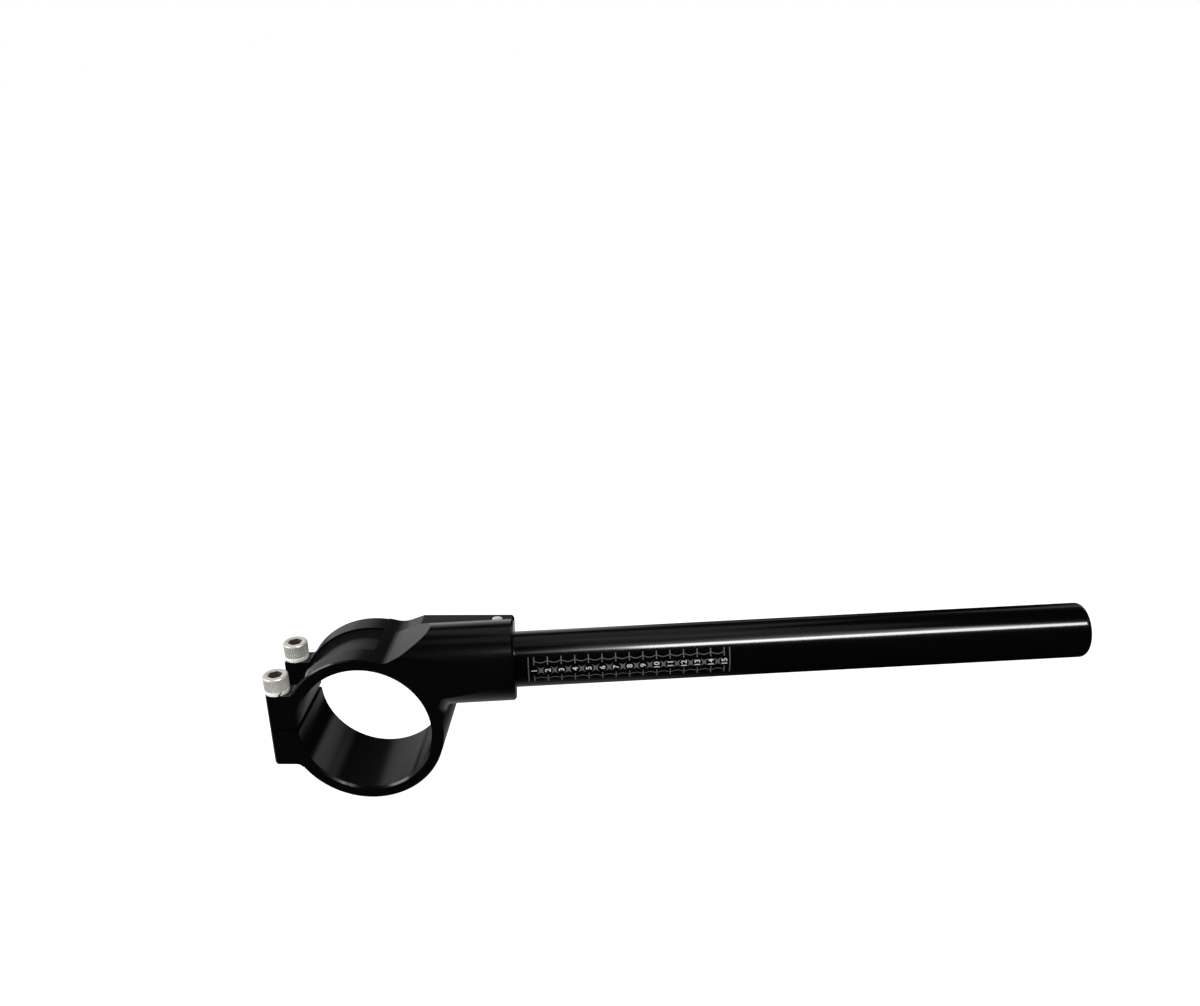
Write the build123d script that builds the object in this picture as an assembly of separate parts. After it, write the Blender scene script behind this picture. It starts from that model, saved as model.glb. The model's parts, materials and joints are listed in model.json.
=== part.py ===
from build123d import *
import os
from math import asin, cos, degrees, radians, sin, sqrt, tan

# Clip-on handlebar: a split clamp that grips a fork leg and carries one bar tube.
# Millimetres. The origin is the middle of the fork bore. +Y runs along the bore, away from the upper face,
# +X points out along the bar, and +Z points to the side that the fork screw heads are on.

# Fork ring
fork_diameter = 54.0
ring_wall = 5.0
ring_width = 36.0
bore_chamfer = 0.8
rim_chamfer = 0.5

# Groove round the outside of the ring, between its two rims, that also parts the lugs
groove_width = 18.0
groove_depth = 2.4
groove_upper_angle = 80.5
groove_lower_angle = -44.0

# Split and its lugs; the screws draw the lugs together, so the gap narrows towards the outside
split_gap = 2.6
split_mouth = 0.9
lug_seat_height = 15.6
lug_foot_depth = 16.0
lug_edge = 0.8
lug_corner = 2.0
lug_upper_fillet = 2.0
lug_lower_fillet = 3.0

# M6 fork screws and their spring washers
fork_thread = 6.0
fork_screw_length = 30.0
fork_head_diameter = 10.0
fork_head_height = 6.0
fork_hex = 5.0
fork_screw_offset = 2.5
fork_hole_clearance = 0.6
spot_face_clearance = 0.8
washer_thickness = 1.6
washer_diameter = 9.9
washer_bore_clearance = 0.3
washer_slot = 1.0
washer_slant = 30.0

# Bar tube
bar_diameter = 22.2
bar_wall = 3.2
bar_length = 263.6
bar_insert = 31.2
bar_spigot_relief = 0.2
bar_shoulder_gap = 0.3
bar_edge_radius = 2.4
bar_bore_chamfer = 0.3
bar_inset = 9.0
bar_offset = -7.5
bar_droop = 6.0
bar_fit = 0.1

# Bar socket, its pinch ear, and the ramps that lead up to both
socket_wall = 5.1
socket_stand = 28.2
socket_chamfer = 0.8
socket_fillet = 4.0
barrel_ramp_start = 10.9
barrel_ramp_angle = 29.2
barrel_ramp_fillet = 5.0
ear_ramp_start = 11.5
ear_ramp_angle = 20.3
ear_ramp_fillet = 10.0
ear_half_height = 10.1
slit_gap = 1.6

# M5 pinch screw
pinch_thread = 5.0
pinch_screw_length = 20.0
pinch_head_diameter = 8.5
pinch_head_height = 5.0
pinch_hex = 4.0
pinch_setback = 7.0
pinch_hole_clearance = 0.5
pinch_seat_depth = 0.8
pinch_mouth = 0.5

# Shared by all screws
thread_clearance = 0.1
head_chamfer = 0.7
tip_chamfer = 0.7
hex_depth_share = 0.55

# Worked out from the sizes above
fork_radius = fork_diameter / 2
ring_radius = fork_radius + ring_wall
half_width = ring_width / 2
groove_radius = ring_radius - groove_depth
fork_screw_x = -(ring_radius + fork_screw_offset)
fork_screw_y = (groove_width / 2 + half_width) / 2
fork_hole = fork_thread + fork_hole_clearance
lug_outer = fork_screw_x - fork_hole / 2 - lug_edge
bar_radius = bar_diameter / 2
spigot_radius = bar_radius - bar_spigot_relief
bar_height = ring_radius - bar_inset
socket_radius = bar_radius + socket_wall
socket_reach = ring_radius + socket_stand
socket_floor = socket_reach - bar_insert
ear_top = bar_height + ear_half_height
ear_bottom = bar_height - ear_half_height
pinch_hole = pinch_thread + pinch_hole_clearance
pinch_seat = ear_bottom + pinch_seat_depth
far_reach = 3 * ring_radius

# The bar axis: local Z runs out along the bar, local X is up and local Y points to the upper face
bar_direction = (cos(radians(bar_droop)), sin(radians(bar_droop)), 0)
bar_plane = Plane(origin=(0, bar_offset, bar_height), x_dir=(0, 0, 1), z_dir=bar_direction)

# The side view of the clamp: local X is +X, local Y is +Z and the normal is -Y
side_plane = Plane(origin=(0, half_width, 0), x_dir=(1, 0, 0), z_dir=(0, -1, 0))


def bar_cylinder(radius, start, end):
    """A cylinder on the bar axis between two distances from the fork axis."""
    blank = Cylinder(radius, end - start, align=(Align.CENTER, Align.CENTER, Align.MIN))
    return bar_plane * Pos(0, 0, start) * blank


def upright(x, y, bottom, radius, height):
    """A cylinder along +Z with its lower face at the given height."""
    blank = Cylinder(radius, height, align=(Align.CENTER, Align.CENTER, Align.MIN))
    return Pos(x, y, bottom) * blank


def nearest_vertex(sketch, x, z):
    """The corner of a side view nearest to a place."""
    return sketch.vertices().sort_by_distance((x, z, 0))[0]


def ramp_height(x, start, angle):
    """Height of a ramp that leaves the outside of the ring at a start and rises at an angle."""
    return sqrt(ring_radius ** 2 - start ** 2) + (x - start) * tan(radians(angle))


def ear_ramp_height(x):
    """Height of the ramp that leads up to the ear."""
    return ramp_height(x, ear_ramp_start, ear_ramp_angle)


def ear_ramp_end():
    """Distance from the fork axis at which the ear's ramp is as high as the ear."""
    return ear_ramp_start + (ear_top - ear_ramp_height(ear_ramp_start)) / tan(radians(ear_ramp_angle))


def ring_with_ramp(start, angle, end, radius):
    """Side view of the ring and of a ramp up to an end, with a fillet of the given radius between them."""
    foot = ramp_height(start, start, angle)
    wedge = make_face(Polyline((0, 0), (0, ramp_height(0, start, angle)), (end, ramp_height(end, start, angle)),
                               (end, 0), close=True))
    profile = Circle(ring_radius) + wedge
    return fillet(nearest_vertex(profile, start, foot), radius)


def clamp_profile():
    """Side view of the ring with its lugs and the ramp of the ear."""
    lug_height = lug_seat_height + lug_foot_depth
    lug_middle = (lug_seat_height - lug_foot_depth) / 2
    lugs = Pos(lug_outer / 2, lug_middle) * Rectangle(-lug_outer, lug_height)
    profile = ring_with_ramp(ear_ramp_start, ear_ramp_angle, ear_ramp_end(), ear_ramp_fillet) + lugs
    seat_x = -sqrt(ring_radius ** 2 - lug_seat_height ** 2)
    foot_x = -sqrt(ring_radius ** 2 - lug_foot_depth ** 2)
    profile = fillet(nearest_vertex(profile, seat_x, lug_seat_height), lug_upper_fillet)
    profile = fillet(nearest_vertex(profile, foot_x, -lug_foot_depth), lug_lower_fillet)
    profile = fillet(nearest_vertex(profile, lug_outer, -lug_foot_depth), lug_corner)
    return profile


def far_side(distance):
    """How far the far face of the ring lies from the bar axis, at a distance out along the bar."""
    drift = bar_offset + distance * sin(radians(bar_droop))
    return (half_width - drift) / cos(radians(bar_droop))


def barrel():
    """The round part of the socket with a chamfered end, cut off by its ramp and the faces of the ring."""
    outward = Axis(bar_plane.origin, bar_plane.z_dir)
    blank = bar_cylinder(socket_radius, 0, socket_reach)
    blank = chamfer(blank.edges().sort_by(outward)[-1], socket_chamfer)
    profile = ring_with_ramp(barrel_ramp_start, barrel_ramp_angle, far_reach, barrel_ramp_fillet)
    return blank & extrude(side_plane * profile, ring_width)


def ear():
    """The square ear beside the barrel with a chamfered end, cut off by its ramp and the faces of the ring."""
    start = ear_ramp_end() - socket_radius * sin(radians(bar_droop))
    shoulder = socket_reach - socket_chamfer
    section = Pos(0, -far_reach / 2) * Rectangle(2 * ear_half_height, far_reach)
    blank = extrude(bar_plane * Pos(0, 0, start) * section, shoulder - start)
    blank = blank + extrude(bar_plane * Pos(0, 0, shoulder) * section, socket_chamfer, taper=45)
    far_corner = bar_plane * Pos(0, -far_side(socket_reach), socket_reach)
    leg = socket_chamfer * sqrt(2)
    blank = blank - far_corner * Rot(X=45) * Box(far_reach, leg, leg)
    below_ramp = make_face(Polyline((0, ear_ramp_height(0)), (far_reach, ear_ramp_height(far_reach)),
                                    (far_reach, -far_reach), (0, -far_reach), close=True))
    return blank & extrude(side_plane * below_ramp, ring_width)


def groove_cutter():
    """Sector of a ring, from the socket round by way of the lugs to the underside of the socket."""
    sweep = 360 + groove_lower_angle - groove_upper_angle
    section = Pos(groove_radius + far_reach / 2, 0) * Rectangle(far_reach, groove_width)
    ring_section = Plane.XY * section
    turned = revolve(ring_section, Axis.Y, revolution_arc=-sweep)
    return Rot(Y=-groove_upper_angle) * turned


def underside_edges(body):
    """Edges where the socket and the ear meet the outside of the ring, below the bar axis."""
    found = []
    for edge in body.edges():
        middle = edge.position_at(0.5)
        on_ring = abs(sqrt(middle.X ** 2 + middle.Z ** 2) - ring_radius) < 0.01
        between_faces = abs(middle.Y) < half_width - 0.01
        if on_ring and between_faces and middle.X > 0 and middle.Z < bar_height:
            found.append(edge)
    return found


def split_cutter():
    """The gap between the lugs, as wide as split_gap at the bore and as split_mouth at the outside."""
    upper = [(0, split_gap / 2), (-fork_radius, split_gap / 2), (lug_outer, split_mouth / 2),
             (-far_reach, split_mouth / 2)]
    lower = [(x, -z) for x, z in reversed(upper)]
    wedge = make_face(Polyline(*upper, *lower, close=True))
    return extrude(Plane.XZ * wedge, far_reach, both=True)


def lug_plan():
    """Plan view of the clamp, with the upright outer corners of its lugs rounded."""
    plan = Pos((lug_outer + far_reach) / 2, 0) * Rectangle(far_reach - lug_outer, ring_width)
    corners = plan.vertices().sort_by(Axis.X)[:2]
    return extrude(Plane.XY * fillet(corners, lug_corner), far_reach, both=True)


def rim_cutters():
    """Chamfers on the outer edges of both rims, where the ring stands clear of lugs and socket."""
    upper_end = 180 - degrees(asin((lug_seat_height + lug_upper_fillet) / (ring_radius + lug_upper_fillet)))
    lower_start = 180 + degrees(asin((lug_foot_depth + lug_lower_fillet) / (ring_radius + lug_lower_fillet)))
    inner = ring_radius - 2 * rim_chamfer
    outer = ring_radius + rim_chamfer
    top = half_width + rim_chamfer
    bottom = half_width - 2 * rim_chamfer
    cutters = []
    for start, end in ((groove_upper_angle, upper_end), (lower_start, 360)):
        for side in (-1, 1):
            corner = make_face(Polyline((inner, side * top), (outer, side * top), (outer, side * bottom),
                                        close=True))
            cutters.append(Rot(Y=-start) * revolve(corner, Axis.Y, revolution_arc=start - end))
    return cutters


def bore_cutter():
    """The fork bore with a chamfer at each end."""
    section = make_face(Polyline((0, -half_width), (fork_radius + bore_chamfer, -half_width),
                                 (fork_radius, bore_chamfer - half_width),
                                 (fork_radius, half_width - bore_chamfer),
                                 (fork_radius + bore_chamfer, half_width), (0, half_width), close=True))
    return revolve(section, Axis.Y)


def fork_screw_cutters():
    """Seat, clearance hole and tapped hole of both fork screws."""
    seat = fork_head_diameter + 2 * spot_face_clearance
    tapped = fork_thread + thread_clearance
    cutters = []
    for side in (-1, 1):
        y = side * fork_screw_y
        cutters.append(upright(fork_screw_x, y, lug_seat_height, seat / 2, far_reach))
        cutters.append(upright(fork_screw_x, y, 0, fork_hole / 2, far_reach))
        cutters.append(upright(fork_screw_x, y, -far_reach, tapped / 2, far_reach))
    return cutters


def pinch_place(height):
    """A place on the axis of the pinch screw, midway between the bar and the far face, at a height."""
    station = socket_reach - pinch_setback
    lever = (bar_radius + far_side(station)) / 2
    foot = bar_plane.from_local_coords((0, -lever, station))
    return Pos(foot.X, foot.Y, height)


def pinch_cutters():
    """Slit of the ear, and the seat, clearance hole, tapped hole and chamfered mouth of the pinch screw."""
    slit_box = Box(slit_gap, far_reach, far_reach, align=(Align.CENTER, Align.MAX, Align.MIN))
    slit = bar_plane * Pos(0, 0, socket_floor) * slit_box
    up = (Align.CENTER, Align.CENTER, Align.MIN)
    down = (Align.CENTER, Align.CENTER, Align.MAX)
    seat = Cylinder(pinch_head_diameter / 2 + spot_face_clearance, far_reach, align=down)
    hole = Cylinder(pinch_hole / 2, far_reach, align=down)
    tapped_radius = (pinch_thread + thread_clearance) / 2
    tapped = Cylinder(tapped_radius, far_reach, align=up)
    mouth = Cone(tapped_radius, tapped_radius + pinch_mouth, pinch_mouth, align=down)
    return [slit, pinch_place(pinch_seat) * seat, pinch_place(bar_height) * hole,
            pinch_place(bar_height) * tapped, pinch_place(ear_top) * mouth]


def fork_clamp():
    """The one-piece clamp: ring, lugs, ramp, socket and ear, with every hole cut."""
    ring = extrude(side_plane * clamp_profile(), ring_width) & lug_plan()
    body = ring + barrel() + ear()
    body = fillet(underside_edges(body), socket_fillet)
    body = body - bore_cutter() - groove_cutter() - rim_cutters()
    body = body - split_cutter()
    body = body - fork_screw_cutters()
    body = body - bar_cylinder(spigot_radius + bar_fit / 2, socket_floor, far_reach)
    return body - pinch_cutters()


def socket_screw(thread, length, head_diameter, head_height, hex_size):
    """A socket head screw along Z: the seat of its head is at zero and its shank points down."""
    down = (Align.CENTER, Align.CENTER, Align.MAX)
    up = (Align.CENTER, Align.CENTER, Align.MIN)
    head = Cylinder(head_diameter / 2, head_height, align=up)
    head = chamfer(head.edges().sort_by(Axis.Z)[-1], head_chamfer)
    shank = Cylinder(thread / 2, length, align=down)
    shank = chamfer(shank.edges().sort_by(Axis.Z)[0], tip_chamfer)
    depth = head_height * hex_depth_share
    socket = extrude(RegularPolygon(hex_size / 2, 6, major_radius=False), depth)
    return head + shank - Pos(0, 0, head_height - depth) * socket


def fork_screw(side):
    """One of the two screws that close the ring."""
    screw = socket_screw(fork_thread, fork_screw_length, fork_head_diameter, fork_head_height, fork_hex)
    return Pos(fork_screw_x, side * fork_screw_y, lug_seat_height + washer_thickness) * screw


def fork_washer(side):
    """Spring washer under the head of a fork screw: a ring with a slanting cut."""
    up = (Align.CENTER, Align.CENTER, Align.MIN)
    ring = Cylinder(washer_diameter / 2, washer_thickness, align=up)
    ring = ring - Cylinder(fork_thread / 2 + washer_bore_clearance, washer_thickness, align=up)
    cut_box = Box(washer_slot, washer_diameter, 3 * washer_thickness)
    cut = Pos(0, side * washer_diameter / 2, washer_thickness / 2) * Rot(Y=washer_slant) * cut_box
    return Pos(fork_screw_x, side * fork_screw_y, lug_seat_height) * (ring - cut)


def bar_screw():
    """The screw that pinches the socket on the bar, put in from below."""
    screw = socket_screw(pinch_thread, pinch_screw_length, pinch_head_diameter, pinch_head_height, pinch_hex)
    return pinch_place(pinch_seat) * Rot(X=180) * screw


def bar_tube():
    """The bar: an open tube, turned down a little where it sits in the socket and rounded at its free end."""
    shoulder = socket_reach + bar_shoulder_gap
    free_end = socket_floor + bar_length
    outward = Axis(bar_plane.origin, bar_plane.z_dir)
    grip = bar_cylinder(bar_radius, shoulder, free_end)
    grip = fillet(grip.edges().sort_by(outward)[-1], bar_edge_radius)
    tube = grip + bar_cylinder(spigot_radius, socket_floor, shoulder)
    tube = tube - bar_cylinder(bar_radius - bar_wall, socket_floor, free_end)
    inner_edge = tube.faces().sort_by(outward)[-1].inner_wires()[0].edges()
    return chamfer(inner_edge, bar_bore_chamfer)


os.makedirs("parts", exist_ok=True)
export_step(fork_clamp(), "parts/fork_clamp.step")
export_step(bar_tube(), "parts/bar_tube.step")
export_step(fork_screw(-1), "parts/fork_screw_front.step")
export_step(fork_screw(1), "parts/fork_screw_rear.step")
export_step(fork_washer(-1), "parts/fork_washer_front.step")
export_step(fork_washer(1), "parts/fork_washer_rear.step")
export_step(bar_screw(), "parts/bar_screw.step")
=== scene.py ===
import json
import math

import bmesh
import bpy
import numpy as np
from mathutils import Matrix, Vector


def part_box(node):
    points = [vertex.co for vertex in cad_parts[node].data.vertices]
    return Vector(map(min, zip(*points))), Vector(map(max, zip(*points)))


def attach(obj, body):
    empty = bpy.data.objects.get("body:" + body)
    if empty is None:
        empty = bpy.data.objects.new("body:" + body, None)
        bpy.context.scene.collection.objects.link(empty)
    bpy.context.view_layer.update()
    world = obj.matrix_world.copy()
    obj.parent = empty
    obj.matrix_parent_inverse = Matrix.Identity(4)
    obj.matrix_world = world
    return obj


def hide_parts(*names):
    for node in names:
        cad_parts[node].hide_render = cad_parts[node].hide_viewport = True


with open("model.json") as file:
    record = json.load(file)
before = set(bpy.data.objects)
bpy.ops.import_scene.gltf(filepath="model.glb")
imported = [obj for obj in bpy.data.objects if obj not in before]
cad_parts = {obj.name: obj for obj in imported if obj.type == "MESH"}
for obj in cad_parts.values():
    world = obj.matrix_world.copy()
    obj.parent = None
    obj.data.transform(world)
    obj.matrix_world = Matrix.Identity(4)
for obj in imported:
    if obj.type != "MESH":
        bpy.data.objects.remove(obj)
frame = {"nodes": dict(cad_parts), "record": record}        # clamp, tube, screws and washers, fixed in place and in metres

mm = 0.001
tau = 2 * math.pi
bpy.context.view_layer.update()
mounts = {mount["name"]: mount for mount in frame["record"]["mounts"]}
print("frame:", ", ".join(sorted(frame["nodes"])))

# The bar's own directions: out along it, up, and towards the upper face of the clamp.
# Distances along it start where its axis passes the fork axis.
gripSeat = mounts["grip_seat"]
barAlong = np.array(gripSeat["axis"])
barUp = np.array((0.0, 0.0, 1.0))
barNear = np.cross(barAlong, barUp)
gripMiddle = np.array(gripSeat["pos_m"])
barFoot = gripMiddle - barAlong * gripMiddle[0] / barAlong[0]
barRadius = gripSeat["dims"]["r_mm"]
clampBore = mounts["fork_bore"]["dims"]["r_mm"]


def spanAlongBar(mount):
    # first and last distance of a mount's wall along the bar, in mm
    middle = (np.array(mount["pos_m"]) - barFoot) @ barAlong / mm
    half = mount["dims"]["length_mm"] / 2
    return middle - half, middle + half


def onBar(along, radius, angle):
    # foot of the bar plus a distance along it plus a radius turned from near towards up, mm to metres
    along, radius, angle = (np.asarray(value)[..., None] for value in (along, radius, angle))
    spoke = np.cos(angle) * barNear + np.sin(angle) * barUp
    return barFoot + (along * barAlong + radius * spoke) * mm


# Meshes


def gridQuads(rows, columns, roundRows=False, roundColumns=False):
    # corner numbers of each quad of a grid; a round direction joins its end to its start
    row = np.arange(rows if roundRows else rows - 1)[:, None]
    column = np.arange(columns if roundColumns else columns - 1)[None, :]
    nextRow = (row + 1) % rows
    nextColumn = (column + 1) % columns
    corners = (row * columns + column, row * columns + nextColumn,
               nextRow * columns + nextColumn, nextRow * columns + column)
    return np.stack(np.broadcast_arrays(*corners), -1).reshape(-1, 4)


def roundedProfile(corners, steps, guard=0.06):
    # closed outline through corners (x, y, radius): each corner is an arc between two guard points,
    # which keep the long straight runs flat in smooth shading
    outline = []
    for index, (x, y, radius) in enumerate(corners):
        here = np.array((x, y))
        before = np.array(corners[index - 1][:2]) - here
        after = np.array(corners[(index + 1) % len(corners)][:2]) - here
        before /= np.linalg.norm(before)
        after /= np.linalg.norm(after)
        if radius == 0:
            outline.append(here[None])
            continue
        half = math.acos(np.clip(before @ after, -1, 1)) / 2
        reach = radius / math.tan(half)
        middle = here + (before + after) / np.linalg.norm(before + after) * radius / math.sin(half)
        start = here + before * reach - middle
        end = here + after * reach - middle
        turn = math.acos(np.clip(start @ end / radius ** 2, -1, 1))
        share = np.linspace(0, 1, steps + 1)[:, None]
        arc = (np.sin((1 - share) * turn) * start + np.sin(share * turn) * end) / math.sin(turn)
        outline.append((here + before * (reach + guard))[None])
        outline.append(middle + arc)
        outline.append((here + after * (reach + guard))[None])
    return np.concatenate(outline)


def addToScene(name, data):
    # an object at the origin that shows the data
    thing = bpy.data.objects.new(name, data)
    bpy.context.scene.collection.objects.link(thing)
    return thing


def makePiece(name, points, faces, material, replaced=(), sharpAngle=35, oil=None):
    # one mesh object, smooth but for its sharp edges, riding with the clamp; the last argument is a share per
    # point of the oil colour: real oil in screw sockets, painted shade on screw shanks
    mesh = bpy.data.meshes.new(name)
    mesh.from_pydata(points.tolist(), [], faces)
    mesh.validate()
    mesh.shade_smooth()
    mesh.set_sharp_from_angle(angle=math.radians(sharpAngle))
    mesh.materials.append(material)
    if oil is not None:
        shares = np.asarray(oil, dtype=np.float32)
        mesh.attributes.new("oil", "FLOAT", "POINT").data.foreach_set("value", shares)
    piece = addToScene(name, mesh)
    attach(piece, "root")
    if replaced:
        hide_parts(*replaced)


# Materials

mixSockets = {"FLOAT": (2, 3, 0), "RGBA": (6, 7, 2)}       # numbers of a Mix node's two inputs and its output


def toLinear(hexColour):
    # an sRGB hex colour as the linear colour that a shader socket takes
    channels = np.array([int(hexColour[start:start + 2], 16) for start in (1, 3, 5)]) / 255
    linear = np.where(channels <= 0.04045, channels / 12.92, ((channels + 0.055) / 1.055) ** 2.4)
    return (*linear.tolist(), 1.0)


def addNode(tree, kind, inputs=None, **settings):
    # a node with its settings; each input is the socket that feeds it or a fixed value
    node = tree.nodes.new(kind)
    for name, value in settings.items():
        setattr(node, name, value)
    for socket, value in (inputs or {}).items():
        if isinstance(value, bpy.types.NodeSocket):
            tree.links.new(value, node.inputs[socket])
        else:
            node.inputs[socket].default_value = value
    return node


def calculated(tree, operation, *values):
    # the result of one Math node
    return addNode(tree, "ShaderNodeMath", dict(enumerate(values)), operation=operation).outputs[0]


def mixed(tree, kind, share, first, second):
    # the first value or colour where the share is 0, the second where it is 1
    firstSocket, secondSocket, result = mixSockets[kind]
    inputs = {0: share, firstSocket: first, secondSocket: second}
    return addNode(tree, "ShaderNodeMix", inputs, data_type=kind).outputs[result]


def swung(tree, pattern, middle, swing):
    # a value that follows a pattern from middle less swing to middle plus swing
    return addNode(tree, "ShaderNodeMapRange", {
        "Value": pattern, "To Min": middle - swing, "To Max": middle + swing}).outputs["Result"]


def toned(tree, pattern, colours, positions=(0.0, 1.0)):
    # a colour that follows a pattern from one colour to another
    node = addNode(tree, "ShaderNodeValToRGB", {"Fac": pattern})
    for element, colour, position in zip(node.color_ramp.elements, colours, positions):
        element.color = toLinear(colour)
        element.position = position
    return node.outputs["Color"]


def perMillimetre(size):
    # texture scale for features of that size in mm, because Object coordinates are in metres
    return 1 / (size * mm)


def noise(tree, place, scale, detail):
    # the value of a noise texture
    inputs = {"Vector": place, "Scale": scale, "Detail": detail}
    return addNode(tree, "ShaderNodeTexNoise", inputs).outputs["Fac"]


def newMaterial(name, values):
    # a Principled material with its fixed inputs: the material, its tree, its shader and Object coordinates
    material = bpy.data.materials.new(name)
    material.use_nodes = True
    tree = material.node_tree
    shader = tree.nodes["Principled BSDF"]
    for socket, value in values.items():
        shader.inputs[socket].default_value = value
    place = addNode(tree, "ShaderNodeTexCoord").outputs["Object"]
    return material, tree, shader, place


clampFinish = {
    "colour": "#050506", "ior": 1.5, "roughness": 0.15, "swing": 0.03,
    "grain": 0.9,          # blasted grain is about 0.1 mm; drawn coarser so that it shows
    "feed": 0.55,          # cutter lines are about 0.2 mm apart; drawn coarser so that they show
    "grainDepth": 0.004, "feedDepth": 0.0015, "bump": 0.5,
    # the groove floor's greyer colour is painted light; its higher roughness is the coarser cut
    "groove": {"colour": "#111113", "roughness": 0.27, "radius": 31.0, "boreMargin": 1.5, "halfWidth": 9.1},
}


def clampAnodised():
    # black anodised aluminium, milled and blasted: a satin black with faint cutter lines.
    # The floor of the ring's groove, between two radii round the fork axis, is a coarser cut and rougher; its
    # greyer colour is painted light, the brightness that this floor catches.
    material, tree, shader, place = newMaterial("blackAnodisedMilledAluminium", {"IOR": clampFinish["ior"]})
    groove = clampFinish["groove"]
    inPlane = addNode(tree, "ShaderNodeVectorMath", {0: place, 1: (1.0, 0.0, 1.0)}, operation="MULTIPLY")
    length = addNode(tree, "ShaderNodeVectorMath", {0: inPlane.outputs["Vector"]}, operation="LENGTH")
    spoke = length.outputs["Value"]
    inside = calculated(tree, "LESS_THAN", spoke, groove["radius"] * mm)
    outside = calculated(tree, "GREATER_THAN", spoke, (clampBore + groove["boreMargin"]) * mm)
    axes = addNode(tree, "ShaderNodeSeparateXYZ", {0: place})
    across = calculated(tree, "ABSOLUTE", axes.outputs["Y"])
    between = calculated(tree, "LESS_THAN", across, groove["halfWidth"] * mm)
    ring = calculated(tree, "MULTIPLY", inside, outside)
    floor = calculated(tree, "MULTIPLY", ring, between)
    # painted light: the groove floor's mask lifts its black to a grey
    tone = mixed(tree, "RGBA", floor, toLinear(clampFinish["colour"]), toLinear(groove["colour"]))
    tree.links.new(tone, shader.inputs["Base Color"])
    grain = noise(tree, place, perMillimetre(clampFinish["grain"]), 3.0)
    lines = addNode(tree, "ShaderNodeTexWave", {
        "Vector": place, "Scale": perMillimetre(clampFinish["feed"]) / tau,
        "Distortion": 1.5, "Detail": 2.0, "Detail Scale": 2.0}, bands_direction="Y")
    spread = swung(tree, grain, clampFinish["roughness"], clampFinish["swing"])
    gloss = mixed(tree, "FLOAT", floor, spread, groove["roughness"])
    tree.links.new(gloss, shader.inputs["Roughness"])
    fine = addNode(tree, "ShaderNodeBump", {
        "Strength": clampFinish["bump"], "Distance": clampFinish["grainDepth"] * mm, "Height": grain})
    both = addNode(tree, "ShaderNodeBump", {
        "Strength": clampFinish["bump"], "Distance": clampFinish["feedDepth"] * mm,
        "Height": lines.outputs["Fac"], "Normal": fine.outputs["Normal"]})
    tree.links.new(both.outputs["Normal"], shader.inputs["Normal"])
    return material


tubeFinish = {
    "colour": "#040405", "ior": 1.5, "roughness": 0.12, "swing": 0.02,
    "draw": 1.6, "stretch": 60,       # width of the draw lines in mm, and how many times longer they are
}


def tubeAnodised():
    # black anodised aluminium, drawn and polished: nearly a mirror, with faint lines along the draw
    material, tree, shader, place = newMaterial("blackAnodisedPolishedAluminium", {
        "Base Color": toLinear(tubeFinish["colour"]), "IOR": tubeFinish["ior"]})
    across = perMillimetre(tubeFinish["draw"])
    stretched = addNode(tree, "ShaderNodeMapping", {
        "Vector": place, "Rotation": (0.0, 0.0, -math.atan2(barAlong[1], barAlong[0])),
        "Scale": (across / tubeFinish["stretch"], across, across)})
    draw = noise(tree, stretched.outputs["Vector"], 1.0, 3.0)
    spread = swung(tree, draw, tubeFinish["roughness"], tubeFinish["swing"])
    tree.links.new(spread, shader.inputs["Roughness"])
    return material


# The passivated film scatters much of the light, so these are less metallic than bare zinc.
zincFinish = {
    "screw": {"name": "zincPlatedSteel", "colours": ("#e4e1d8", "#f6f4ee"),
              "metallic": 0.5, "roughness": 0.3, "cloud": 0.8},
    "washer": {"name": "brightZincSpringSteel", "colours": ("#ecebe7", "#fafaf8"),
               "metallic": 0.2, "roughness": 0.28, "cloud": 1.2},
    # the oil colour and its roughness are also painted on the screw shanks as shade, standing for the dark of
    # the split between the lugs
    "cloudRange": (0.3, 0.7), "swing": 0.06, "oil": "#4c3a27", "oilRoughness": 0.55,
}


def zincPlated(finish):
    # passivated zinc on steel: a pale dull metal, cloudy like its crystals, brown with oil in its socket; the
    # same dark brown on the shank is painted shade
    material, tree, shader, place = newMaterial(finish["name"], {"Metallic": finish["metallic"]})
    cloud = noise(tree, place, perMillimetre(finish["cloud"]), 4.0)
    tone = toned(tree, cloud, finish["colours"], zincFinish["cloudRange"])
    # a share of 1 is oil brown in the socket, and painted shade on the shank
    oil = addNode(tree, "ShaderNodeAttribute", attribute_name="oil").outputs["Fac"]
    colour = mixed(tree, "RGBA", oil, tone, toLinear(zincFinish["oil"]))
    tree.links.new(colour, shader.inputs["Base Color"])
    spread = swung(tree, cloud, finish["roughness"], zincFinish["swing"])
    gloss = mixed(tree, "FLOAT", oil, spread, zincFinish["oilRoughness"])
    tree.links.new(gloss, shader.inputs["Roughness"])
    return material


etchedFinish = {
    "line": {"name": "etchedLineAluminium", "colours": ("#46464a", "#5a5a5e")},
    "number": {"name": "etchedNumberAluminium", "colours": ("#a4a4a8", "#bebec2")},
    "roughness": 0.7, "burn": 0.5,
}


def etchedMark(finish):
    # laser-etched aluminium: a dull pale grey, a little uneven along the beam's path
    material, tree, shader, place = newMaterial(finish["name"], {"Roughness": etchedFinish["roughness"]})
    burn = noise(tree, place, perMillimetre(etchedFinish["burn"]), 2.0)
    tree.links.new(toned(tree, burn, finish["colours"]), shader.inputs["Base Color"])
    return material


clampBlack = clampAnodised()
tubeBlack = tubeAnodised()
screwZinc = zincPlated(zincFinish["screw"])
washerZinc = zincPlated(zincFinish["washer"])
etchedGrey = etchedMark(etchedFinish["line"])
etchedPale = etchedMark(etchedFinish["number"])
print("materials:", len(bpy.data.materials))

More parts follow.
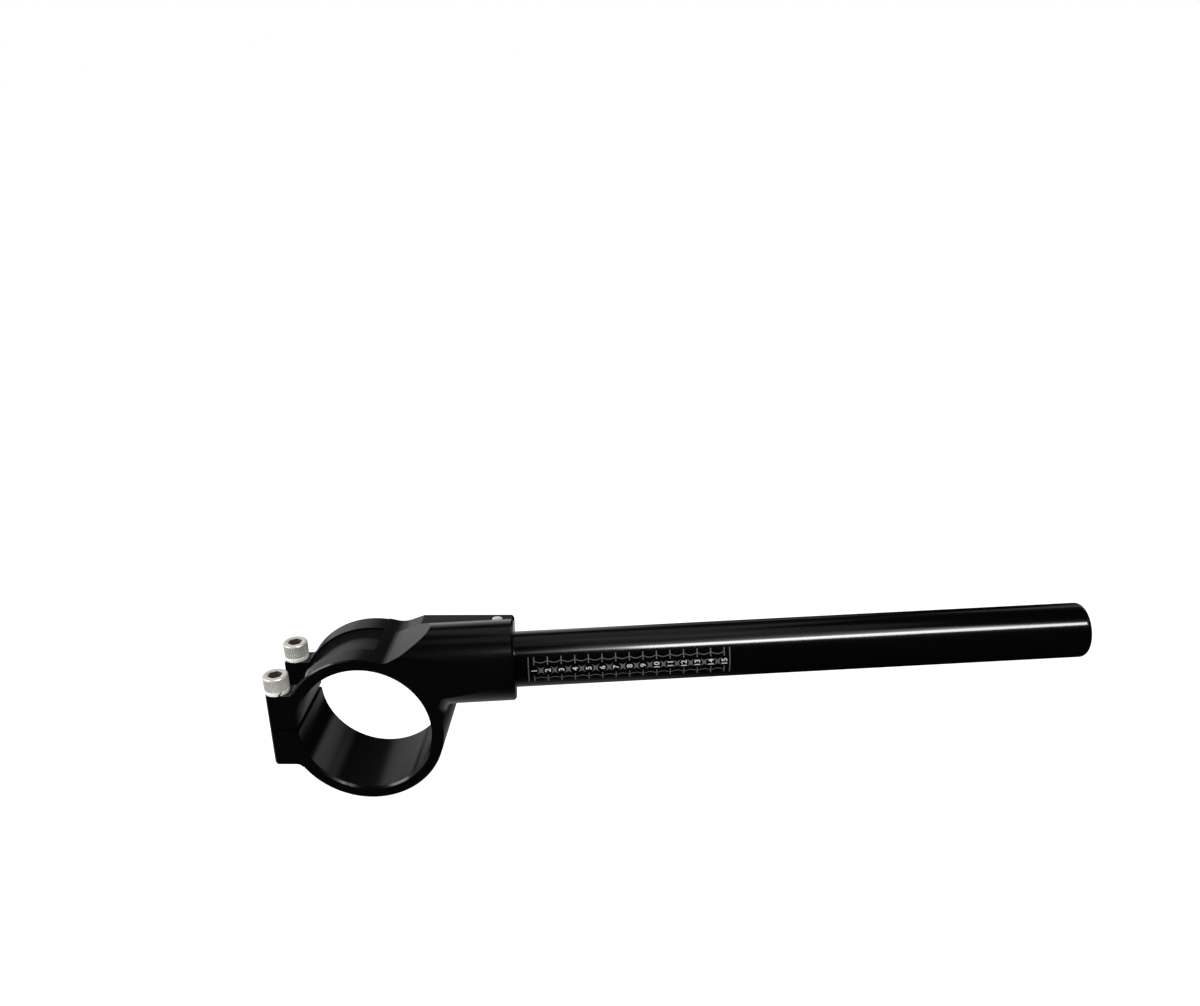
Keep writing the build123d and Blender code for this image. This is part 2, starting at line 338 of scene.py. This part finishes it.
# The clamp keeps its own solid
clampNode = frame["nodes"]["fork_clamp"]
clampNode.data.materials.clear()
clampNode.data.materials.append(clampBlack)


barTube = {
    "rim": 2.4, "boreChamfer": 0.3, "boreEdge": 0.15,
    "spigotRelief": 0.2, "spigotEdge": 0.3, "shoulderEdge": 0.08,
    "columns": 256, "cornerSteps": 8,
}


def makeTube():
    # the wall's outline, a closed loop of distance and radius, turned once round the bar's axis
    gripStart, gripEnd = spanAlongBar(gripSeat)
    boreStart, boreEnd = spanAlongBar(mounts["bar_end_bore"])
    boreRadius = mounts["bar_end_bore"]["dims"]["r_mm"]
    spigot = barRadius - barTube["spigotRelief"]
    freeEnd = gripEnd + barTube["rim"]
    mouth = boreRadius + barTube["boreChamfer"]
    outline = roundedProfile((
        (boreStart, spigot, barTube["spigotEdge"]), (gripStart, spigot, 0),
        (gripStart, barRadius, barTube["shoulderEdge"]), (freeEnd, barRadius, barTube["rim"]),
        (freeEnd, mouth, barTube["boreEdge"]), (boreEnd, boreRadius, barTube["boreEdge"]),
        (boreStart, boreRadius, barTube["boreEdge"])), barTube["cornerSteps"])
    turn = np.linspace(0, tau, barTube["columns"], endpoint=False)
    along, angle = np.meshgrid(outline[:, 0], turn, indexing="ij")
    radius = np.broadcast_to(outline[:, 1:], along.shape)
    points = onBar(along, radius, angle).reshape(-1, 3)
    faces = gridQuads(len(outline), len(turn), True, True).tolist()
    makePiece("barTube", points, faces, tubeBlack, ("bar_tube",))


makeTube()
print("tube done")


# Screws, in mm from the seat of the head, which is at height 0

forkScrew = {"thread": 6.0, "pitch": 1.0, "length": 30.0,
             "head": 10.0, "height": 6.0, "hex": 5.0, "depth": 3.3}
pinchScrew = {"thread": 5.0, "pitch": 0.8, "length": 20.0,
              "head": 8.5, "height": 5.0, "hex": 4.0, "depth": 2.75}
screwDetail = {
    "columns": 144, "bendRows": 7,
    # socket: the drill's cone, the step round the floor, and the countersunk mouth
    "drillPoint": 0.7, "drillTip": 0.05, "poleDrop": 0.02, "floorShare": 0.93, "floorStep": 0.1,
    "mouthFlare": 0.25, "wallEnd": 1.5, "lipDrop": 0.03, "lipWidth": 0.05,
    # head: rounded top, knurls that start below it, and a rounded foot where they run out
    "topRound": 0.75, "topFlat": 0.1, "baseRound": 0.35,
    "knurls": 36, "knurlDepth": 0.3, "knurlStart": 0.12, "knurlFull": 0.4,
    # shank: fillet, plain neck, thread and pointed end
    "neckFillet": 0.15, "plainNeck": 0.6, "threadDepth": 0.61, "threadSlack": 0.04, "rowsPerPitch": 6,
    "tip": 0.7, "tipRise": 0.15, "tipWiden": 0.2, "tipNarrow": 0.1,
    # shares of oil in the socket, its mouth and the knurls, and the turns at the end that are left out of the
    # painted shade on the shank
    "socketOil": 0.95, "mouthOil": 0.6, "knurlOil": 0.12, "cleanTurns": 3,
}


def headRows(size, angle):
    # rows of radius, height and oil from the socket's floor over the head to its seat. The socket is a
    # hexagon in plan, and the head's side falls back by a cosine for each knurl.
    detail = screwDetail
    level = np.ones_like(angle)
    hexagon = size["hex"] / 2 / np.cos((angle + tau / 12) % (tau / 6) - tau / 12)
    top = size["height"]
    floor = top - size["depth"]
    flare = detail["mouthFlare"]
    mouth = size["hex"] / math.sqrt(3) + flare
    film = detail["socketOil"]
    step = detail["floorStep"]
    rows = [(detail["drillTip"] * hexagon, floor - detail["drillPoint"], film),
            (detail["floorShare"] * hexagon, floor - step, film),
            (hexagon, floor, film), (hexagon, floor + step, film),
            (hexagon, top - detail["wallEnd"] * flare, film), (hexagon, top - flare, detail["mouthOil"]),
            (mouth * level, top - detail["lipDrop"], 0), ((mouth + detail["lipWidth"]) * level, top, 0)]
    bend = np.linspace(0, tau / 4, detail["bendRows"])
    outer = size["head"] / 2
    turned = detail["topRound"]
    inner = outer - turned
    shoulder = top - turned
    rows.append(((inner - detail["topFlat"]) * level, top, 0))
    rows += [((inner + turned * math.sin(b)) * level, shoulder + turned * math.cos(b), 0) for b in bend]
    wave = (1 - np.cos(detail["knurls"] * angle)) / 2
    knurled = outer - detail["knurlDepth"] * wave
    rows.append((outer * level, shoulder - detail["knurlStart"], 0))
    rows.append((knurled, shoulder - detail["knurlFull"], detail["knurlOil"]))
    base = detail["baseRound"]
    rows += [(np.minimum(knurled, outer - base + base * math.cos(b)), base - base * math.sin(b), 0)
             for b in bend]
    return rows


def shankRows(size, angle):
    # rows of radius, height and share of painted shade from the seat down to the tip: the shank gets the oil
    # colour as painted shade, except for its last turns. The thread is a helix: its radius falls with a
    # triangle wave of height over pitch less the turned share of a circle.
    detail = screwDetail
    level = np.ones_like(angle)
    pitch = size["pitch"]
    major = size["thread"] / 2 - detail["threadSlack"]
    depth = detail["threadDepth"] * pitch
    neck = detail["plainNeck"]
    fillet = detail["neckFillet"]
    # share 1: the shank is painted dark as shade, as if it were in the split between the lugs
    rows = [((major + fillet) * level, 0.0, 1), (major * level, -fillet, 1), (major * level, -neck, 1)]
    tip = -size["length"]
    shadeEnd = tip + detail["cleanTurns"] * pitch
    count = round((size["length"] - neck - detail["tip"]) / pitch * detail["rowsPerPitch"])
    for height in np.linspace(-neck, tip + detail["tip"], count + 1)[1:]:
        phase = (height / pitch - angle / tau) % 1
        fade = min(1, (-neck - height) / pitch)
        rows.append((major - depth * fade * (1 - np.abs(2 * phase - 1)), height, height > shadeEnd))
    last = major - depth
    rows.append((np.minimum(rows[-1][0], last + detail["tipWiden"]), tip + detail["tipRise"], 0))
    rows.append(((last - detail["tipNarrow"]) * level, tip, 0))
    return rows


def makeScrew(name, node, size, upsideDown=False):
    # the rows turned round the screw's axis, closed by a fan at the socket's floor and one at the tip
    angle = np.linspace(0, tau, screwDetail["columns"], endpoint=False)
    grid = headRows(size, angle) + shankRows(size, angle)
    radius, height, rowOilAndShade = (np.array(values, dtype=float) for values in zip(*grid))
    rows, columns = radius.shape
    level = np.broadcast_to(height[:, None], radius.shape)
    ring = np.stack((radius * np.cos(angle), radius * np.sin(angle), level), -1)
    floorPole = (0, 0, height[0] - screwDetail["poleDrop"])
    tipPole = (0, 0, height[-1])
    points = np.concatenate((ring.reshape(-1, 3), (floorPole, tipPole)))
    low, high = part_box(node)
    middle = (np.array(low) + np.array(high)) / 2
    seat = high[2] - size["height"] * mm
    if upsideDown:
        points = points * (1, -1, -1)
        seat = low[2] + size["height"] * mm
    points = points * mm + (middle[0], middle[1], seat)
    column = np.arange(columns)
    after = (column + 1) % columns
    lastRow = (rows - 1) * columns
    floorFan = np.stack((np.full(columns, rows * columns), after, column), -1)
    tipFan = np.stack((np.full(columns, rows * columns + 1), lastRow + column, lastRow + after), -1)
    faces = gridQuads(rows, columns, False, True).tolist() + floorFan.tolist() + tipFan.tolist()
    oil = np.concatenate((np.repeat(rowOilAndShade, columns), (1, 0)))
    makePiece(name, points, faces, screwZinc, (node,), oil=oil)


makeScrew("forkScrewFront", "fork_screw_front", forkScrew)
makeScrew("forkScrewRear", "fork_screw_rear", forkScrew)
makeScrew("pinchScrew", "bar_screw", pinchScrew, upsideDown=True)
print("screws done")


springWasher = {"bore": 3.3, "edge": 0.22, "gap": 12.0, "slant": 14.0, "stations": 160, "cornerSteps": 4}


def makeWasher(name, node, slotAngle):
    # a rounded oblong section carried round a circle that stops short of closing; its angle leans with its
    # height, which slants the cut
    low, high = (np.array(corner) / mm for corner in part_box(node))
    middle = (low + high) / 2
    bore = springWasher["bore"]
    outer = (high[0] - low[0]) / 2
    edge = springWasher["edge"]
    section = roundedProfile(((bore, low[2], edge), (outer, low[2], edge), (outer, high[2], edge),
                              (bore, high[2], edge)), springWasher["cornerSteps"])
    half = springWasher["gap"] / 2
    sweep = np.radians(np.linspace(slotAngle + half, slotAngle + 360 - half, springWasher["stations"]))
    lean = np.radians(springWasher["slant"]) * (section[:, 1] - middle[2]) / (high[2] - low[2])
    angle = sweep[:, None] + lean[None, :]
    radius = section[None, :, 0]
    points = np.stack((middle[0] + radius * np.cos(angle), middle[1] + radius * np.sin(angle),
                       np.broadcast_to(section[:, 1], angle.shape)), -1).reshape(-1, 3) * mm
    count = len(section)
    faces = gridQuads(len(sweep), count, False, True).tolist()
    faces += [list(range(count))[::-1], list(range(len(points) - count, len(points)))]
    makePiece(name, points, faces, washerZinc, (node,))


makeWasher("forkWasherFront", "fork_washer_front", slotAngle=-60.0)
makeWasher("forkWasherRear", "fork_washer_rear", slotAngle=100.0)
print("washers done")


# The etched scale: plates about as thick as a film of paint that follow the tube

barScale = {
    "first": 67.9, "pitch": 5.38, "count": 15,     # place of the first number along the bar, and the spacing
    "turn": 2.5,                                   # degrees above the line that faces the upper face squarely
    "disc": 1.95, "bandWaist": 0.85, "bandFlare": 0.75,
    "tickFrom": 2.25, "tickTo": 5.6, "tickWidth": 0.42,
    "arcAt": 3.2, "arcLift": 0.75, "arcWidth": 0.3,
    "endGap": 2.2, "endHalf": 5.6,
    "lift": 0.02, "sink": 0.03, "rows": 13, "columns": 9,
    "digit": 2.3,                                  # height of a number
    # in the font's own units: how much bolder, half its thickness, the cuts that let it bend, and the weld
    "bold": 0.02, "slab": 0.1, "cutFrom": 0.1, "cutTo": 1.5, "cutStep": 0.16, "weld": 1e-4, "curveSteps": 3,
}


def onTube(flat, height):
    # flat marks bent round the tube: first value along the bar from the first number, second round the
    # tube, in mm
    along = barScale["first"] + flat[..., 0]
    angle = math.radians(barScale["turn"]) + flat[..., 1] / barRadius
    return onBar(along, barRadius + height, angle)


def plates(flat):
    # closed thin plates from an array of flat grids: an upper and a lower sheet joined round their border
    count, rows, columns = flat.shape[:3]
    size = rows * columns
    upper = onTube(flat, barScale["lift"]).reshape(count, size, 3)
    lower = onTube(flat, -barScale["sink"]).reshape(count, size, 3)
    points = np.concatenate((upper, lower), 1).reshape(-1, 3)
    sheet = gridQuads(rows, columns)
    number = np.arange(size).reshape(rows, columns)
    border = np.concatenate((number[0], number[1:, -1], number[-1, -2::-1], number[-2:0:-1, 0]))
    after = np.roll(border, -1)
    wall = np.stack((border, border + size, after + size, after), -1)
    one = np.concatenate((sheet, sheet[:, ::-1] + size, wall))
    faces = (one[None] + 2 * size * np.arange(count)[:, None, None]).reshape(-1, 4)
    return points, faces


def scaleLines():
    # ticks, arcs, links and end lines; each is a grid of q along the mark and p across it, both from -1 to 1
    rows, columns = barScale["rows"], barScale["columns"]
    q, p = np.meshgrid(np.linspace(-1, 1, rows), np.linspace(-1, 1, columns), indexing="ij")
    pitch = barScale["pitch"]
    halfTick = barScale["tickWidth"] / 2
    numbers = np.arange(barScale["count"])[:, None, None] * pitch
    gaps = (np.arange(barScale["count"] - 1)[:, None, None] + 0.5) * pitch
    marks = []
    # ticks: straight lines round the tube, above and below each number
    middle = (barScale["tickFrom"] + barScale["tickTo"]) / 2
    half = (barScale["tickTo"] - barScale["tickFrom"]) / 2
    for side in (1, -1):
        marks.append((numbers + side * p * halfTick, side * (middle + q * half) + 0 * numbers))
    # arcs: between two ticks, sagging by a cosine towards the numbers
    reach = pitch / 2 - halfTick
    sag = barScale["arcAt"] + barScale["arcLift"] * (1 - np.cos(q * math.pi / 2))
    for side in (1, -1):
        marks.append((gaps + q * reach, side * (sag - p * barScale["arcWidth"] / 2) + 0 * gaps))
    # links: between two numbers, as wide as the room that their discs leave and waisted by a square
    height = p * (barScale["bandWaist"] + barScale["bandFlare"] * q ** 2)
    room = pitch / 2 - np.sqrt(np.maximum(barScale["disc"] ** 2 - height ** 2, 0))
    marks.append((gaps + q * room, height + 0 * gaps))
    # end lines: one outside the first number and one outside the last
    lastNumber = (barScale["count"] - 1) * pitch
    ends = np.array((-barScale["endGap"], lastNumber + barScale["endGap"]))[:, None, None]
    marks.append((ends + p * halfTick, q * barScale["endHalf"] + 0 * ends))
    return np.concatenate([np.stack((u, v), -1) for u, v in marks])


def flatNumber(text):
    # a number as a flat solid of triangles, cut across at even steps so that it can bend round the tube
    curve = bpy.data.curves.new("number", "FONT")
    curve.body = text
    curve.resolution_u = barScale["curveSteps"]
    curve.extrude = barScale["slab"]
    curve.offset = barScale["bold"]
    carrier = addToScene("number", curve)
    bpy.context.view_layer.update()
    mesh = bpy.data.meshes.new_from_object(carrier.evaluated_get(bpy.context.evaluated_depsgraph_get()))
    bpy.data.objects.remove(carrier)
    bpy.data.curves.remove(curve)
    solid = bmesh.new()
    solid.from_mesh(mesh)
    bmesh.ops.remove_doubles(solid, verts=solid.verts, dist=barScale["weld"])
    for cut in np.arange(barScale["cutFrom"], barScale["cutTo"], barScale["cutStep"]):
        everything = solid.verts[:] + solid.edges[:] + solid.faces[:]
        bmesh.ops.bisect_plane(solid, geom=everything, plane_co=(cut, 0, 0), plane_no=(1, 0, 0))
    bmesh.ops.triangulate(solid, faces=solid.faces[:])
    solid.to_mesh(mesh)
    solid.free()
    corners = np.empty(3 * len(mesh.vertices))
    mesh.vertices.foreach_get("co", corners)
    triangles = np.empty(len(mesh.loops), dtype=int)
    mesh.loops.foreach_get("vertex_index", triangles)
    bpy.data.meshes.remove(mesh)
    return corners.reshape(-1, 3), triangles.reshape(-1, 3)


def scaleNumbers():
    # each number stands on its side: its width goes round the tube, and its foot points to the free end
    points, faces = [], []
    start = 0
    for index in range(barScale["count"]):
        corners, triangles = flatNumber(str(index + 1))
        low, high = corners.min(0), corners.max(0)
        size = (corners - (low + high) / 2) * barScale["digit"] / (high[1] - low[1])
        flat = np.stack((index * barScale["pitch"] - size[:, 1], size[:, 0]), -1)
        height = np.where(corners[:, 2] > 0, barScale["lift"], -barScale["sink"])
        points.append(onTube(flat, height))
        faces.append(triangles + start)
        start += len(corners)
    return np.concatenate(points), np.concatenate(faces)


linePoints, lineFaces = plates(scaleLines())
makePiece("barScaleLines", linePoints, lineFaces.tolist(), etchedGrey)
numberPoints, numberFaces = scaleNumbers()
makePiece("barScaleNumbers", numberPoints, numberFaces.tolist(), etchedPale)
print("scale done")


# Stage

cameraView = {"place": (0.1201, -0.4030, 0.2507), "azimuth": 3.434, "elevation": 21.724, "roll": -1.734,
              "lens": 34.32, "sensor": 36.0, "clip": 0.01}
studio = {
    "white": "#ffffff", "ambient": 0.12,
    "floor": -0.10, "floorSize": 40.0, "floorGlow": 0.98,
    "paper": (0.3, 0.3, 0.3, 1.0), "bouncePaper": (0.8, 0.8, 0.8, 1.0),
}


def aim(azimuth, elevation, roll):
    # columns right, up and back of a camera that looks azimuth degrees left of +Y and elevation degrees down
    a, e, r = (math.radians(value) for value in (azimuth, elevation, roll))
    ahead = Vector((-math.sin(a) * math.cos(e), math.cos(a) * math.cos(e), -math.sin(e)))
    right = Vector((math.cos(a), math.sin(a), 0))
    up = right.cross(ahead)
    tiltedRight = right * math.cos(r) + up * math.sin(r)
    tiltedUp = up * math.cos(r) - right * math.sin(r)
    return Matrix((tiltedRight, tiltedUp, -ahead)).transposed()


def makeCamera():
    # the camera that was fitted to the photo
    data = bpy.data.cameras.new("photoCamera")
    data.lens = cameraView["lens"]
    data.sensor_width = cameraView["sensor"]
    data.clip_start = cameraView["clip"]
    camera = addToScene("photoCamera", data)
    turn = aim(cameraView["azimuth"], cameraView["elevation"], cameraView["roll"])
    camera.matrix_world = Matrix.LocRotScale(Vector(cameraView["place"]), turn, None)
    bpy.context.scene.camera = camera


def seenDirectly(tree):
    # 1 for camera, glossy and transmission rays, 0 for the rest
    path = addNode(tree, "ShaderNodeLightPath")
    first = calculated(tree, "MAXIMUM", path.outputs["Is Camera Ray"], path.outputs["Is Glossy Ray"])
    return calculated(tree, "MAXIMUM", first, path.outputs["Is Transmission Ray"])


def makeWorld():
    # white where it is seen, dim as a light
    world = bpy.data.worlds.new("studioAir")
    world.use_nodes = True
    world.cycles.sampling_method = "NONE"
    bpy.context.scene.world = world
    tree = world.node_tree
    background = tree.nodes["Background"]
    background.inputs["Color"].default_value = toLinear(studio["white"])
    level = addNode(tree, "ShaderNodeMapRange", {
        "Value": seenDirectly(tree), "To Min": studio["ambient"], "To Max": 1.0})
    tree.links.new(level.outputs["Result"], background.inputs["Strength"])


def glowTree(name):
    # a material with an empty tree, whose own light isn't sampled as a lamp
    material = bpy.data.materials.new(name)
    material.use_nodes = True
    material.cycles.emission_sampling = "NONE"
    material.node_tree.nodes.clear()
    return material, material.node_tree


def makeFloor():
    # white paper that glows enough to hide where it ends, and only reflects light towards the object
    half = studio["floorSize"] / 2
    mesh = bpy.data.meshes.new("studioFloor")
    plan = ((-half, -half), (half, -half), (half, half), (-half, half))
    corners = [(x, y, studio["floor"]) for x, y in plan]
    mesh.from_pydata(corners, [], [(0, 1, 2, 3)])
    material, tree = glowTree("paleFloorPaper")
    paper = addNode(tree, "ShaderNodeBsdfDiffuse", {"Color": studio["paper"]})
    glow = addNode(tree, "ShaderNodeEmission", {
        "Color": toLinear(studio["white"]), "Strength": studio["floorGlow"]})
    both = addNode(tree, "ShaderNodeAddShader", {0: paper.outputs[0], 1: glow.outputs[0]})
    bounce = addNode(tree, "ShaderNodeBsdfDiffuse", {"Color": studio["bouncePaper"]})
    mix = addNode(tree, "ShaderNodeMixShader", {
        0: seenDirectly(tree), 1: bounce.outputs[0], 2: both.outputs[0]})
    addNode(tree, "ShaderNodeOutputMaterial", {"Surface": mix.outputs[0]})
    mesh.materials.append(material)
    floor = addToScene("studioFloor", mesh)


# Cards round the object that only its gloss sees.
# Azimuth goes from the front, 0, to the right, 90, and the back, 180.
cardDome = {
    "middle": (0.15, 0.0, 0.02), "radius": 1.6, "floorGap": 0.004, "rows": 181, "columns": 721,
    "base": 0.004, "soft": 5.0,
    # azimuth from and to, elevation from and to, level
    "patches": {
        "backLeft": (184, 222, -12, 27, 0.42),
        "backGlow": (187, 214, -6, 14, 0.35),
        "backLeftLow": (196, 226, -28, -12, 0.32),
        "backRight": (136, 154, 0, 23, 0.45),
        "backMiddle": (170, 186, 2, 20, 0.2),
        "backRightUpper": (138, 160, 23, 33, 0.33),
        "rightCard": (56, 88, 29, 40, 1.2),
        "backGap": (140, 222, 30, 44, 0.03),
        "upperBack": (162, 208, 46, 95, 0.30),
        "upperRight": (50, 162, 70, 95, 0.26),
        "ceiling": (-180, 180, 79, 95, 0.24),
        "leftWall": (-108, -50, -12, 52, 0.5),
    },
    # azimuth from and to, softness of both, elevation of its foot, degrees of fade upwards, level at its foot
    "lampGlow": {
        "bright": (4, 52, 5, 50.5, 5.5, 9.0),
        "faint": (3, 55, 5, 50.5, 13.0, 0.9),
        "start": (-2.2, 6, 1.5, 50.5, 5.5, 2.4),
    },
    "lampTop": 100,            # past the zenith, so that the glow has no upper edge
    # on the floor: x from and to, y from and to, level
    "paleFloor": {"behind": (-0.6, 0.06, -0.05, 0.3, 0.16), "below": (-0.05, 0.13, -0.01, 0.09, 0.17)},
    "floorSoft": 0.1, "floorBelow": -5,
}


def softBand(value, low, high, soft):
    # 1 between low and high, with smooth steps of that width centred on both
    rise = np.clip((value - low) / soft + 0.5, 0, 1)
    fall = np.clip((high - value) / soft + 0.5, 0, 1)
    return rise * rise * (3 - 2 * rise) * fall * fall * (3 - 2 * fall)


def cardShade(azimuth, elevation, points):
    # the sum of soft oblong patches in azimuth and elevation, of a lamp's glow that fades upwards, and of a
    # pale floor
    soft = cardDome["soft"]
    shade = np.full(azimuth.shape, cardDome["base"])
    for left, right, low, high, level in cardDome["patches"].values():
        across = (azimuth - (left + right) / 2 + 180) % 360 - 180
        half = (right - left) / 2
        wide = softBand(across, -half, half, 2 * soft) if half < 180 else 1.0
        shade += level * wide * softBand(elevation, low, high, soft)
    for left, right, edge, foot, fade, level in cardDome["lampGlow"].values():
        wide = softBand(azimuth, left, right, edge)
        tall = softBand(elevation, foot, cardDome["lampTop"], soft / 2)
        shade += level * wide * tall * np.exp(-np.maximum(elevation - foot, 0) / fade)
    soft = cardDome["floorSoft"]
    for left, right, near, far, level in cardDome["paleFloor"].values():
        patch = softBand(points[..., 0], left, right, soft) * softBand(points[..., 1], near, far, soft)
        shade += level * patch * (elevation < cardDome["floorBelow"])
    return shade


def cardGlow():
    # light that a surface gives off by itself, as its shade attribute says
    material, tree = glowTree("greyCards")
    card = addNode(tree, "ShaderNodeAttribute", attribute_name="shade")
    glow = addNode(tree, "ShaderNodeEmission", {"Color": card.outputs["Color"], "Strength": 1.0})
    addNode(tree, "ShaderNodeOutputMaterial", {"Surface": glow.outputs[0]})
    return material


def makeCards():
    # a sphere of azimuth and elevation, pressed flat just above the floor
    turn = np.linspace(-180, 180, cardDome["columns"])
    lift = np.linspace(-90, 90, cardDome["rows"])
    elevation, azimuth = np.meshgrid(lift, turn, indexing="ij")
    a, e = np.radians(azimuth), np.radians(elevation)
    drop = cardDome["middle"][2] - studio["floor"] - cardDome["floorGap"]
    reach = np.minimum(cardDome["radius"], drop / np.maximum(-np.sin(e), 1e-6))[..., None]
    outward = np.stack((np.sin(a) * np.cos(e), -np.cos(a) * np.cos(e), np.sin(e)), -1)
    points = outward * reach + cardDome["middle"]
    mesh = bpy.data.meshes.new("reflectionCards")
    mesh.from_pydata(points.reshape(-1, 3).tolist(), [], gridQuads(len(lift), len(turn)).tolist())
    shade = cardShade(azimuth, elevation, points).ravel()
    colours = np.stack((shade, shade, shade, np.ones_like(shade)), -1)
    mesh.attributes.new("shade", "FLOAT_COLOR", "POINT").data.foreach_set("color", colours.ravel())
    mesh.materials.append(cardGlow())
    cards = addToScene("reflectionCards", mesh)
    cards.visible_camera = cards.visible_diffuse = cards.visible_shadow = cards.visible_transmission = False


leftStand = {"place": (-0.62, -0.30, 0.42), "along": (0.44, -0.9, 0.0), "target": (-0.03, 0.0, 0.02),
             "size": (0.3, 0.3)}
lamps = {
    "stripLamp": {"place": (0.44, -0.372, 0.547), "along": (0.985, 0.17, 0.0), "target": (0.25, 0.0, 0.02),
                  "size": (0.50, 0.115), "power": 4.0, "inGloss": True},
    "leftLamp": {**leftStand, "power": 1.3, "inGloss": True},
    "leftFill": {**leftStand, "power": 6.0, "inGloss": False},      # for the pale pieces, with no reflection
}


def makeLamp(name, lamp):
    # an oblong lamp whose long side runs along a direction and whose face is turned to its target
    data = bpy.data.lights.new(name, "AREA")
    data.shape = "RECTANGLE"
    data.size, data.size_y = lamp["size"]
    data.energy = lamp["power"]
    light = addToScene(name, data)
    light.visible_glossy = lamp["inGloss"]
    along = Vector(lamp["along"]).normalized()
    back = Vector(lamp["place"]) - Vector(lamp["target"])
    back = (back - along * back.dot(along)).normalized()
    turn = Matrix((along, back.cross(along), back)).transposed()
    light.matrix_world = Matrix.LocRotScale(Vector(lamp["place"]), turn, None)


makeCamera()
makeWorld()
makeFloor()
makeCards()
for lampName, lampValues in lamps.items():
    makeLamp(lampName, lampValues)
bpy.context.scene.view_settings.view_transform = "Standard"
print("stage done")
